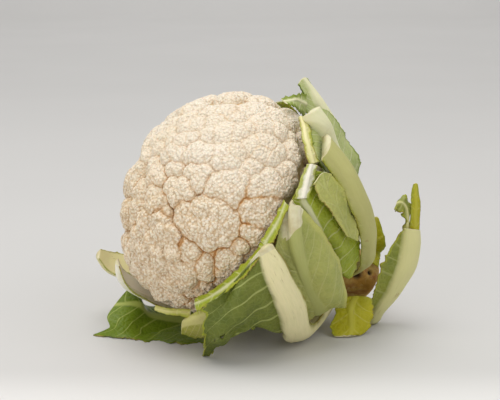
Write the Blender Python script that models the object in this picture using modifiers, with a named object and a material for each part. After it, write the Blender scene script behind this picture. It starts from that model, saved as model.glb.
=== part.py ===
"""A cauliflower as picked: curd, stem and trimmed leaves, lying on its side leaves.

The head leans over, so the pieces are described around its own axis: a height h along the
axis from the middle of the curd (up to the crown, down to the cut stem), a distance r from
the axis, and a turn around it (0 on top, 90 towards the front, 180 underneath, 270 behind).
Lengths in the leaf tables are millimetres and turns are degrees.
"""
import math

import bmesh
import bpy
from mathutils import Matrix, Vector

MM = 0.001
NAME = "cauliflower"

# Driving dimensions
CURD_RADIUS = 84.0
CURD_RISE = 69.0
CENTRE_HEIGHT = 97.0
CROWN_RISE = 30.7
CROWN_TOWARDS_FRONT = 19.7
HEAD_OFFSET = (-24.9, -0.5)
STEM_RADIUS = 19.0
STEM_TOP = -60.0
STEM_BUTT = -137.0
CURD_FOOT = STEM_TOP + 0.5
BLADE = 1.5

FLORETS = 46
FLORET_SIZE = 18.0
CURD_DETAIL = 4

# The cup that the leaves grow in, as (h, r) from the stem up past the rim: inner, middle, outer
CUPS = (
    [(-84, 19.6), (-79, 30), (-71, 42), (-60, 55), (-46, 68),
     (-30, 79), (-13, 86), (4, 87), (21, 84), (38, 79)],
    [(-98, 19.6), (-91, 31), (-81, 43), (-68, 57), (-52, 71),
     (-33, 82), (-15, 88), (3, 90), (21, 90), (39, 88)],
    [(-112, 19.6), (-104, 30), (-92, 43), (-77, 58), (-58, 73),
     (-37, 84), (-17, 90), (2, 92), (20, 93), (38, 93)],
)

# Leaves traced as lines in mm, left to right as seen from outside, each from the stem to the tip
TRACED = {
    "leaf_middle_front": [
        [(55, 11, 36.5), (50, -11.5, 25), (40, -29.5, 18.5), (34, -42, 26), (26, -53.5, 37.5),
         (18, -64, 51), (14.5, -73, 65.5), (12, -78, 81.5)],
        [(56, 10.5, 37.5), (52.5, -13.5, 28.5), (48, -28.5, 24.5), (44, -45, 34), (37, -57, 49),
         (31, -68, 67.5), (25.5, -75, 87.5), (23, -74, 113)],
        [(57, 10, 39), (55.5, -14, 31), (56.5, -30, 27.5), (58, -46.5, 37.5), (52.5, -58.5, 57),
         (44.5, -68, 77), (35.5, -73.5, 94.5), (26.5, -74, 111.5)],
        [(58, 9.5, 40.5), (59.5, -15.5, 32.5), (64.5, -35, 30), (63.5, -43.5, 47), (58, -52.5, 66),
         (49, -63, 84.5), (39, -70.5, 100), (30, -73, 109.5)],
    ],
    "leaf_outer_front": [
        [(60, 21, 24), (45.5, 2, 12.5), (20, -45, 14), (-10, -75.5, 26), (-32.5, -58, 0),
         (-34.5, -79, 21.5), (-35.5, -85.5, 46)],
        [(60.5, 20.5, 24.5), (46, 1.5, 12.5), (22.5, -42, 13), (2, -68.5, 25), (-20.5, -76.5, 22),
         (-24, -86, 39), (-20.5, -87, 55.5)],
        [(60.5, 20, 24.5), (46.5, 1, 13), (25.5, -39, 12), (13.5, -66, 32), (-0.5, -82, 45), (-8, -89, 60),
         (-7.5, -89, 70.5)],
        [(61, 19.5, 25), (47.5, 1, 15), (30.5, -38, 14.5), (23.5, -64.5, 40.5), (15.5, -78.5, 60),
         (10, -85, 74.5), (5, -89, 86.5)],
        [(62, 18.5, 25.5), (50.5, -2, 18), (37, -36, 15.5), (32.5, -62, 41.5), (23.5, -75.5, 61.5),
         (16, -82.5, 76), (11, -86, 87.5)],
    ],
    "leaf_inner_front": [
        [(48.5, 4.5, 51.5), (49.5, -18, 52), (42.5, -37.5, 57.5), (35.5, -53, 65), (29.5, -65, 76),
         (25.5, -71.5, 90), (24, -70.5, 113), (32, -64.5, 122)],
        [(49, 5, 53), (51.5, -17.5, 56), (47.5, -35, 63.5), (44, -48, 73.5), (43, -59.5, 89),
         (36.5, -66, 104.5), (32, -67.5, 115), (36.5, -57.5, 131)],
        [(50, 5, 54), (54, -17, 59.5), (57, -35, 57), (59.5, -41.5, 70.5), (54.5, -50, 89.5),
         (48.5, -56, 106.5), (42.5, -58.5, 119.5), (45.5, -50, 129)],
        [(50.5, 5.5, 55.5), (56.5, -15.5, 63), (66, -24, 47.5), (73, -16.5, 56), (73.5, -24, 74),
         (69.5, -33.5, 94.5), (62.5, -39.5, 110.5), (54, -39.5, 127)],
    ],
    "leaf_middle_top": [
        [(66, 16, 58.5), (67, -2, 77.5), (64, -17.5, 95.5), (57, -29.5, 112.5), (41.5, -47, 136.5),
         (39, -40.5, 145), (37.5, -30, 153), (34.5, -19.5, 160)],
        [(66, 19, 60.5), (68, 7, 82), (66, -2, 101.5), (62.5, -8, 117.5), (58.5, -11.5, 130),
         (52, -17, 144), (46, -21, 156), (39, -25, 168)],
        [(66, 21.5, 62), (68, 14.5, 80), (68, 10.5, 95.5), (68.5, 8.5, 109), (69.5, 7, 121.5),
         (62, 0.5, 138), (55, -5, 153.5), (45, -13, 167.5)],
        [(66, 23.5, 62.5), (68, 20, 78), (71.5, 19, 92.5), (75, 20, 108.5), (78, 22, 123.5), (68, 16, 138),
         (62, 10.5, 150.5), (52.5, 0.5, 163.5)],
    ],
    "leaf_outer_top": [
        [(76.5, 32, 57), (77, 31, 73), (74.5, 29.5, 95.5), (68, 26.5, 118.5), (49, 17, 147.5),
         (39.5, 14.5, 158), (36, 14.5, 165.5), (35, 17.5, 173), (31.5, 19.5, 180.5)],
        [(75, 36.5, 57), (75, 37.5, 73), (71.5, 39, 95.5), (63.5, 38.5, 118.5), (59.5, 40.5, 139),
         (52, 40.5, 152.5), (46, 39.5, 163.5), (40.5, 40.5, 172.5), (34.5, 39, 182)],
        [(73.5, 40, 56.5), (73, 42, 72.5), (68.5, 45.5, 94.5), (60, 46, 117), (65, 55, 138.5),
         (59, 57, 150.5), (52, 56, 162), (46.5, 55.5, 170.5), (39.5, 54.5, 181)],
    ],
    "leaf_old_right": [
        [(74, 24, 11.5), (81.5, 12, 5.5), (84.5, 6, 14.5), (87.5, 2, 27), (90, 0, 38.5), (94, 0, 51.5),
         (98.5, 2, 60.5), (104.5, 6, 69.5), (110, 9, 75.5)],
        [(77.5, 27, 9), (86.5, 17, 1.5), (93, 11, 13.5), (101, 9, 26), (107, 8, 37), (111.5, 8, 46),
         (114, 9, 55), (115.5, 10, 65.5), (116, 11, 74.5)],
        [(80.5, 30, 8), (90.5, 22, 0), (96, 18, 9), (105, 17, 21.5), (112, 17, 30.5), (118, 17, 40),
         (120.5, 17, 49), (121.5, 17, 61), (121.5, 17, 72)],
    ],
    "leaf_old_under": [
        [(67, 5, 24), (60.5, -2, 17), (59, -8, 14), (55, -12, 7), (58.5, -18.5, 0)],
        [(75, 3, 24.5), (71, -5, 19.5), (70.5, -10, 15.5), (70.5, -14, 7.5), (69.5, -18.5, 0)],
        [(82.5, 2, 25), (80.5, -5, 19.5), (80, -9, 15), (79, -12, 8), (78, -13, 1)],
        [(86.5, 1, 23.5), (86.5, -2, 19), (87, -5, 15), (85.5, -7, 10), (84, -8, 5.5)],
    ],
    "leaf_old_behind": [
        [(82.5, 21, 48.5), (84.5, 25, 51.5), (86.5, 30.5, 56), (80.5, 29, 61.5), (90, 31, 79)],
        [(87.5, 22.5, 45.5), (88.5, 26.5, 49), (89.5, 31.5, 54), (89, 28, 62), (91.5, 31, 79.5)],
        [(93, 24.5, 41.5), (94, 28.5, 45.5), (95.5, 33.5, 50.5), (99, 29, 58.5), (93, 32, 78)],
    ],
    "leaf_outer_low": [
        [(54, 39, 25), (28.5, 45, 15.5), (-2, 45, 10), (-32, 38, 9), (-79, 23, 11.5), (-86, 16.5, 23),
         (-95, 15.5, 27)],
        [(54, 36.5, 24), (30, 38, 14), (-1, 34.5, 5.5), (-32.5, 23.5, 1), (-73.5, 8, 8.5), (-85.5, 3, 19),
         (-103.5, 3, 19)],
        [(54.5, 34.5, 23.5), (31, 32.5, 12.5), (2.5, 24, 1.5), (-29, 11, -4.5), (-75.5, -6.5, 2),
         (-91, -10, 11), (-108, -9, 13)],
        [(54.5, 33.5, 23), (30, 30, 11.5), (0.5, 18.5, 1), (-32, 5.5, -4.5), (-71, -11, -1),
         (-92, -16, 4.5), (-106, -16, 7)],
        [(55, 32.5, 23), (29.5, 27, 10.5), (-2, 13, 0), (-38, -29, 0.5), (-68.5, -26.5, 0.5),
         (-94, -22, 0.5), (-119, -13, 0.5)],
    ],
    "leaf_middle_low": [
        [(44.5, 26, 30), (25, 20.5, 16), (0.5, 8.5, 9), (-19.5, -7, 8), (-21, -77, 42.5), (-31, -74.5, 41),
         (-39.5, -67.5, 35.5), (-47.5, -46, 24.5)],
        [(45, 24, 30), (27.5, 16.5, 15.5), (4, 4, 8), (-13.5, -10, 7.5), (-18.5, -73.5, 34.5),
         (-30, -70, 32), (-40.5, -60.5, 26), (-51, -48, 22)],
        [(46, 22, 30), (29.5, 12, 16), (9.5, -1.5, 10), (-5, -15, 6.5), (-17, -65, 23.5),
         (-28.5, -58, 16.5), (-39, -40.5, 7), (-52, -44, 11.5)],
    ],
}

COLUMNS = (-1, -0.72, -0.46, -0.3, -0.16, 0, 0.16, 0.3, 0.46, 0.72, 1)
RIB_COLUMN = 0.3
ROWS = 13
RIB_MARGIN = 1.15
SHARP_ANGLE = 40
LEAF_ROUGHNESS = 0.55


def blend(values, s):
    """Read a list of numbers, spread evenly from 0 to 1, as a smooth curve at s."""
    last = len(values) - 1
    place = min(max(s, 0.0), 1.0) * last
    i = min(int(place), last - 1)
    f = place - i
    before, here = values[max(i - 1, 0)], values[i]
    there, after = values[i + 1], values[min(i + 2, last)]
    slope_a, slope_b = (there - before) / 2, (after - here) / 2
    return (here * (2 * f**3 - 3 * f**2 + 1) + slope_a * (f**3 - 2 * f**2 + f)
            + there * (3 * f**2 - 2 * f**3) + slope_b * (f**3 - f**2))


def step(low, high, value):
    """A smooth rise from 0 at low to 1 at high."""
    f = min(max((value - low) / (high - low), 0.0), 1.0)
    return f * f * (3 - 2 * f)


def head_matrix():
    """The head's own frame: +Z to the crown, +X to turn 0, set down above the surface."""
    rise, swing = math.radians(CROWN_RISE), math.radians(CROWN_TOWARDS_FRONT)
    crown = Vector((-math.cos(rise) * math.cos(swing), -math.cos(rise) * math.sin(swing), math.sin(rise)))
    top = (Vector((0, 0, 1)) - crown * crown.z).normalized()
    side = crown.cross(top)
    frame = Matrix((top, side, crown)).transposed().to_4x4()
    frame.translation = Vector((*HEAD_OFFSET, CENTRE_HEIGHT)) * MM
    return frame


HEAD = head_matrix()


def around(h, r, turn):
    """A point of the head, as a world point."""
    angle = math.radians(turn)
    return HEAD @ (Vector((r * math.cos(angle), -r * math.sin(angle), h)) * MM)


def material(name, colour, roughness):
    """A plain finish for one piece."""
    mat = bpy.data.materials.new(name)
    mat.use_nodes = True
    shader = mat.node_tree.nodes["Principled BSDF"]
    shader.inputs["Base Color"].default_value = (*colour, 1)
    shader.inputs["Roughness"].default_value = roughness
    shader.inputs["Metallic"].default_value = 0.0
    mat.diffuse_color = (*colour, 1)
    return mat


def add_piece(name, bm, colour, roughness, collection):
    """Turn a finished bmesh into one smooth-shaded object with its own material."""
    mesh = bpy.data.meshes.new(name)
    bm.to_mesh(mesh)
    bm.free()
    mesh.shade_smooth()
    mesh.set_sharp_from_angle(angle=math.radians(SHARP_ANGLE))
    mesh.materials.append(material(name + "_finish", colour, roughness))
    obj = bpy.data.objects.new(name, mesh)
    collection.objects.link(obj)
    return obj


def floret_directions():
    """Florets sit on the golden spiral that a curd grows on, from the crown to the rim."""
    golden = math.radians(137.508)
    lowest = -0.42
    for i in range(FLORETS):
        z = 1 - (i + 0.5) / FLORETS * (1 - lowest)
        ring = math.sqrt(1 - z * z)
        yield Vector((ring * math.cos(golden * i), ring * math.sin(golden * i), z))


def curd_point(direction, florets):
    """The curd's surface in one direction: a flattened dome of florets, drawn in underneath."""
    nearest = max(direction.dot(f) for f in florets)
    gap = math.acos(min(nearest, 1.0)) * CURD_RADIUS / FLORET_SIZE
    lump = 1 - 0.055 * min(gap, 1.0) ** 2
    under = step(-0.22, -0.60, direction.z)
    radius = CURD_RADIUS * lump * (1 - under) + (CURD_RADIUS - 16.0) * under
    height = CURD_RISE if direction.z > 0 else CURD_RADIUS
    return Vector((direction.x * radius, direction.y * radius, direction.z * radius * height / CURD_RADIUS))


def make_curd(collection):
    """The white head: a dome of florets that narrows below the rim to a flat foot."""
    florets = list(floret_directions())
    bm = bmesh.new()
    bmesh.ops.create_icosphere(bm, subdivisions=CURD_DETAIL, radius=1.0)
    for vert in bm.verts:
        direction = vert.co.normalized()
        point = curd_point(direction, florets)
        if point.z < CURD_FOOT:
            point *= CURD_FOOT / point.z
        vert.co = point * MM
    obj = add_piece("curd", bm, (0.86, 0.77, 0.62), 0.6, collection)
    obj.matrix_world = HEAD
    return obj


def make_stem(collection):
    """The thick stem, turned from its outline: flat where it meets the curd and at the cut butt."""
    outline = [(0, STEM_TOP), (20.5, STEM_TOP), (STEM_RADIUS, STEM_TOP - 9), (STEM_RADIUS, -112),
               (STEM_RADIUS - 0.6, -126), (STEM_RADIUS - 1.6, STEM_BUTT + 2), (STEM_RADIUS - 3.6, STEM_BUTT),
               (0, STEM_BUTT)]
    bm = bmesh.new()
    verts = [bm.verts.new((r * MM, 0, h * MM)) for r, h in outline]
    for a, b in zip(verts, verts[1:]):
        bm.edges.new((a, b))
    obj = add_piece("stem", bm, (0.62, 0.50, 0.31), 0.65, collection)
    screw = obj.modifiers.new("turned", "SCREW")
    screw.steps = screw.render_steps = 32
    screw.use_merge_vertices = True
    screw.merge_threshold = 0.0001
    screw.use_smooth_shade = True
    obj.matrix_world = HEAD
    return obj


def cup_spine(layer, turns, tip, lean=(0, 0)):
    """A leaf's midline in one layer of the cup, from the stem to its cut end at height tip."""
    heights = [point[0] for point in CUPS[layer]]
    radii = [point[1] for point in CUPS[layer]]
    low, high = 0.0, 1.0
    while high - low > 0.001:
        middle = (low + high) / 2
        low, high = (middle, high) if blend(heights, middle) < tip else (low, middle)
    rows = []
    for i in range(8):
        s = i / 7
        rows.append((blend(heights, s * low), blend(radii, s * low) + blend(lean, s), blend(turns, s)))
    return rows


def on_cup(spine):
    """Place a leaf that follows the head: its width runs around the axis."""
    def place(s, across, lift):
        h, r, turn = (blend([row[k] for row in spine], s) for k in range(3))
        return around(h, r + lift, turn + math.degrees(across / max(r, STEM_RADIUS)))
    return place


class Traced:
    """Place a leaf on its traced lines; rib is the line that the rib follows."""

    def __init__(self, name, rib, outside=None):
        self.lines, self.rib = TRACED[name], rib
        middle = Vector(self.row(0.5)[rib])
        self.outside = Vector(outside) if outside else middle - Vector((*HEAD_OFFSET, CENTRE_HEIGHT))

    def row(self, s):
        """The lines' points at s."""
        return [Vector(blend([p[k] for p in line], s) for k in range(3)) for line in self.lines]

    def side(self, side, s):
        """The row's points from the rib out to one side: 1 is left, -1 right."""
        row = self.row(s)
        return row[self.rib::-1] if side > 0 else row[self.rib:]

    def reach(self, side, s):
        points = self.side(side, s)
        return sum((b - a).length for a, b in zip(points, points[1:]))

    def __call__(self, s, across, lift):
        side = 1 if across >= 0 else -1
        points, left = self.side(side, s), abs(across)
        row = self.row(s)
        for i, (a, b) in enumerate(zip(points, points[1:])):
            gap = (b - a).length
            if left <= gap:
                at = (self.rib - side * (i + left / max(gap, 0.001))) / (len(row) - 1)
                return Vector(blend([p[k] for p in row], at) for k in range(3)) * MM
            left -= gap
        return (points[-1] + (points[-1] - points[-2]).normalized() * left) * MM


GREEN = (0.33, 0.47, 0.22)
PALE_GREEN = (0.50, 0.60, 0.34)
YELLOW_GREEN = (0.58, 0.60, 0.20)
DARK_GREEN = (0.14, 0.27, 0.05)

INNER_RIB = dict(rib_width=[6, 6.5, 6, 5, 4], rib_depth=[2, 4, 3, 1.2, 0.8])
MIDDLE_RIB = dict(rib_width=[7.5, 8, 8, 7, 6], rib_depth=[2.5, 6, 5, 3, 3])
OUTER_RIB = dict(rib_width=[7.5, 8, 9.5, 9, 8.5], rib_depth=[3, 7, 8.5, 8, 7])


def make_leaf(name, collection, place, rib_width, rib_depth, left=(), right=(), colour=GREEN):
    """One leaf: a thick rib with a thin blade on each side, as a closed sheet.

    place(s, across, lift) gives the inner face. Every list runs from the stem to the cut
    end: the rib's half width and depth, how far the blade reaches to each side (left is
    towards a greater turn). A traced leaf reaches as far as its outermost lines.
    """
    traced = isinstance(place, Traced)
    if traced:
        left, right = ([place.reach(side, i / (ROWS - 1)) for i in range(ROWS)] for side in (1, -1))
    bm = bmesh.new()
    depth = bm.verts.layers.float.new("depth")
    facing = bm.verts.layers.float_vector.new("facing")
    bmesh.ops.create_grid(bm, x_segments=len(COLUMNS) - 1, y_segments=ROWS - 1, size=1.0)
    columns = sorted({round(v.co.x, 4) for v in bm.verts})
    for vert in bm.verts:
        column = COLUMNS[columns.index(round(vert.co.x, 4))]
        s = (vert.co.y + 1) / 2
        half_rib = blend(rib_width, s)
        edge = max(blend(left if column > 0 else right, s), half_rib * RIB_MARGIN)
        across = abs(column) / RIB_COLUMN * half_rib
        if abs(column) > RIB_COLUMN:
            across = half_rib + (abs(column) - RIB_COLUMN) / (1 - RIB_COLUMN) * (edge - half_rib)
        bulge = math.sqrt(max(0.0, 1 - (across / half_rib) ** 2)) if across < half_rib else 0.0
        vert[depth] = (BLADE + blend(rib_depth, s) * bulge) * MM
        vert.co = place(s, math.copysign(across, column), 0)
        vert.co.z = max(vert.co.z, vert[depth])
    bm.normal_update()
    outside = place.outside if traced else place(0.5, 0, 5) - place(0.5, 0, 0)
    middle = min(bm.verts, key=lambda v: (v.co - place(0.5, 0, 0)).length)
    if middle.normal.dot(outside) < 0:
        bmesh.ops.reverse_faces(bm, faces=bm.faces[:])
        bm.normal_update()
    for vert in bm.verts:
        vert[facing] = vert.normal
    outer = bmesh.ops.extrude_face_region(bm, geom=bm.faces[:], use_keep_orig=True)["geom"]
    for vert in (g for g in outer if isinstance(g, bmesh.types.BMVert)):
        vert.co += Vector(vert[facing]) * vert[depth]
        vert.co.z = max(vert.co.z, 0.0)
    bmesh.ops.recalc_face_normals(bm, faces=bm.faces[:])
    return add_piece(name, bm, colour, LEAF_ROUGHNESS, collection)


def make_inner_leaves(collection):
    """Five small leaves against the curd."""
    make_leaf("leaf_inner_front", collection, Traced("leaf_inner_front", 1),
              rib_width=[6, 6, 4, 3, 2.5, 2], rib_depth=[2, 3, 1.5, 1, 0.8, 0.5], colour=PALE_GREEN)
    make_leaf("leaf_inner_under", collection,
              on_cup([(-84, 20, 206), (-74, 42, 205), (-54, 62, 204), (-28, 80, 202), (-6, 88, 200),
                      (14, 89, 199), (28, 87, 198), (38, 81, 198)]),
              rib_width=[6, 7, 8, 9, 9.5, 9.5, 8, 4], rib_depth=[2, 3, 4, 5, 6, 6, 5, 2],
              left=[6, 8, 12, 12, 12, 11, 9, 5], right=[6, 8, 14, 18, 20, 19, 14, 6], colour=PALE_GREEN)
    for name, turns, tip, left, right, colour in (
            ("leaf_inner_low", [156, 142, 128], -16, [6, 8, 11, 11, 8], [6, 8, 18, 20, 10], YELLOW_GREEN),
            ("leaf_inner_back", [265, 262, 260], -7, [6, 8, 24, 32, 20], [6, 8, 24, 32, 20], PALE_GREEN),
            ("leaf_inner_top", [332, 335, 340], -9, [6, 8, 26, 34, 24], [6, 8, 26, 34, 24], PALE_GREEN)):
        make_leaf(name, collection, on_cup(cup_spine(0, turns, tip)), **INNER_RIB,
                  left=left, right=right, colour=colour)


def make_middle_leaves(collection):
    """Five leaves of the middle layer; the front one spreads a broad apron towards the butt."""
    make_leaf("leaf_middle_top", collection, Traced("leaf_middle_top", 1),
              rib_width=[7.5, 8, 8, 7.5, 7, 7, 7.5, 8], rib_depth=[2.5, 5, 5, 4, 4, 5, 7, 5], colour=GREEN)
    make_leaf("leaf_middle_front", collection, Traced("leaf_middle_front", 1),
              rib_width=[7, 7, 6, 4, 3, 4.5, 6.5, 7], rib_depth=[2, 3, 2, 0.6, 0.3, 1.5, 5, 5],
              colour=PALE_GREEN)
    make_leaf("leaf_middle_low", collection, Traced("leaf_middle_low", 1),
              rib_width=[7.5, 8, 8, 7, 7, 6.5, 6, 6], rib_depth=[2.5, 4, 3.5, 2.5, 3, 4, 3.5, 3],
              colour=YELLOW_GREEN)
    make_leaf("leaf_middle_under", collection,
              on_cup([(-98, 20, 232), (-90, 36, 231), (-70, 56, 229), (-46, 76, 226), (-18, 90, 222),
                      (12, 99, 219), (30, 101, 217), (43, 97, 216)]),
              rib_width=[7.5, 8, 9, 10, 10.5, 11, 10, 4.5], rib_depth=[2.5, 5, 6, 6, 6.5, 7, 6, 3],
              left=[8, 9, 14, 13, 12, 11.5, 10.5, 5], right=[8, 9, 13, 12, 12, 11.5, 10.5, 5],
              colour=YELLOW_GREEN)
    make_leaf("leaf_middle_back", collection, on_cup(cup_spine(1, [284, 283, 282], -8)), **MIDDLE_RIB,
              left=[8, 9, 30, 42, 30], right=[8, 9, 24, 36, 26], colour=GREEN)


def make_outer_leaves(collection):
    """Six outer leaves with thick cut ribs; the low ones spread out on the surface."""
    make_leaf("leaf_outer_top", collection, Traced("leaf_outer_top", 1),
              rib_width=[7, 7.6, 9, 9, 8.5, 8, 7.5, 6.5, 4.5], rib_depth=[2.5, 5.5, 7, 7, 7, 6, 5, 4, 2.5],
              colour=GREEN)
    make_leaf("leaf_outer_shoulder", collection,
              on_cup([(-112, 20, 74), (-103, 42, 70), (-96, 51.5, 67), (-82, 67.6, 62), (-68, 79, 58),
                      (-56, 85, 54.5), (-46, 88, 50), (-36, 89, 46), (-23, 90, 41)]),
              rib_width=[7.5, 7, 7, 7.5, 8.5, 9.5, 10, 10.4, 10.4],
              rib_depth=[3, 7, 8, 8.5, 8.5, 8.5, 8.5, 8.5, 8],
              left=[8, 7.5, 7.5, 8, 9, 10, 10.4, 11.2, 11.2], right=[8, 7.5, 7.5, 8, 9, 10, 10.4, 11.2, 11.2],
              colour=PALE_GREEN)
    make_leaf("leaf_outer_front", collection, Traced("leaf_outer_front", 3),
              rib_width=[7.5, 9, 10.8, 11, 10, 9, 6], rib_depth=[3, 7, 9, 9, 8, 6, 3], colour=GREEN)
    make_leaf("leaf_outer_low", collection, Traced("leaf_outer_low", 1),
              rib_width=[7.5, 8, 8, 6, 4, 3, 2], rib_depth=[3, 5, 5, 3, 2, 1.5, 1], colour=DARK_GREEN)
    make_leaf("leaf_outer_back", collection, on_cup(cup_spine(2, [256, 251, 247], -6)), **OUTER_RIB,
              left=[9, 9, 22, 34, 26], right=[9, 9, 14, 18, 14], colour=GREEN)
    make_leaf("leaf_outer_far", collection, on_cup(cup_spine(2, [309, 310, 310], -8)), **OUTER_RIB,
              left=[8.2, 8.5, 13, 22, 18], right=[9, 9, 18, 26, 20], colour=GREEN)


def make_old_leaves(collection):
    """Three torn remnants of the oldest leaves, near the butt."""
    make_leaf("leaf_old_behind", collection, Traced("leaf_old_behind", 1, (0, -1, 0)),
              rib_width=[3, 2.5, 2, 1.5], rib_depth=[1, 1, 0.8, 0.4], colour=YELLOW_GREEN)
    make_leaf("leaf_old_right", collection, Traced("leaf_old_right", 1),
              rib_width=[4, 5, 5.5, 6.5, 7.5, 8, 8.5, 8, 7], rib_depth=[3, 4, 4, 5, 5, 5, 5, 5, 4],
              colour=PALE_GREEN)
    make_leaf("leaf_old_under", collection, Traced("leaf_old_under", 1, (0, -1, -0.4)),
              rib_width=[2.5, 2], rib_depth=[0.8, 0.4], colour=YELLOW_GREEN)


def clear_scene():
    for obj in list(bpy.data.objects):
        bpy.data.objects.remove(obj, do_unlink=True)


def main():
    clear_scene()
    collection = bpy.data.collections.new(NAME)
    bpy.context.scene.collection.children.link(collection)
    make_curd(collection)
    make_stem(collection)
    make_inner_leaves(collection)
    make_middle_leaves(collection)
    make_outer_leaves(collection)
    make_old_leaves(collection)


main()
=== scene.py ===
import math
import random

import bmesh
import bpy
import numpy as np
from mathutils import Matrix, Vector, noise


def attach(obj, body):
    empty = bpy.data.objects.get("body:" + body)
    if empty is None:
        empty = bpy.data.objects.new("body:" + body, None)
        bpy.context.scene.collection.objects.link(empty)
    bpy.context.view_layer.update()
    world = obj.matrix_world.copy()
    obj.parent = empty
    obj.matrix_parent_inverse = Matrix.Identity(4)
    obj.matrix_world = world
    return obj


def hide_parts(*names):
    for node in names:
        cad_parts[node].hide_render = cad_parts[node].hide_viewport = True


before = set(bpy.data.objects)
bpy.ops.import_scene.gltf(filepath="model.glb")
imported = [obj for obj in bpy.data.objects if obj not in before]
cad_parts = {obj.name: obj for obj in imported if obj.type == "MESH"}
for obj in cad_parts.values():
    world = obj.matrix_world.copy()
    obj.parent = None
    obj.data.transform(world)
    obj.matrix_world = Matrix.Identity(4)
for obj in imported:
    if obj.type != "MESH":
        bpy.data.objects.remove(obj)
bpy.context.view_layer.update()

MM = 0.001

# The head's own frame, as the CAD has it: h up the axis, r out from it, a turn around it
CURD_RADIUS = 84.0
CURD_RISE = 69.0
CENTRE_HEIGHT = 97.0
CROWN_RISE = 30.7
CROWN_TOWARDS_FRONT = 19.7
HEAD_OFFSET = (-24.9, -0.5)
STEM_RADIUS = 19.0
STEM_HOLE = (-117.7, 86.5)
STEM_NICK = (-127.0, 68.0)

BLADE = 0.8
RIB_COLUMNS = 14
BLADE_CELL = 1.5
ROW_CELL = 1.35

CUPS = (
    [(-84, 19.6), (-79, 30), (-71, 42), (-60, 55), (-46, 68),
     (-30, 79), (-13, 86), (4, 87), (21, 84), (38, 79)],
    [(-98, 19.6), (-91, 31), (-81, 43), (-68, 57), (-52, 71),
     (-33, 82), (-15, 88), (3, 90), (21, 90), (39, 88)],
    [(-112, 19.6), (-104, 30), (-92, 43), (-77, 58), (-58, 73),
     (-37, 84), (-17, 90), (2, 92), (20, 93), (38, 93)],
)

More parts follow.
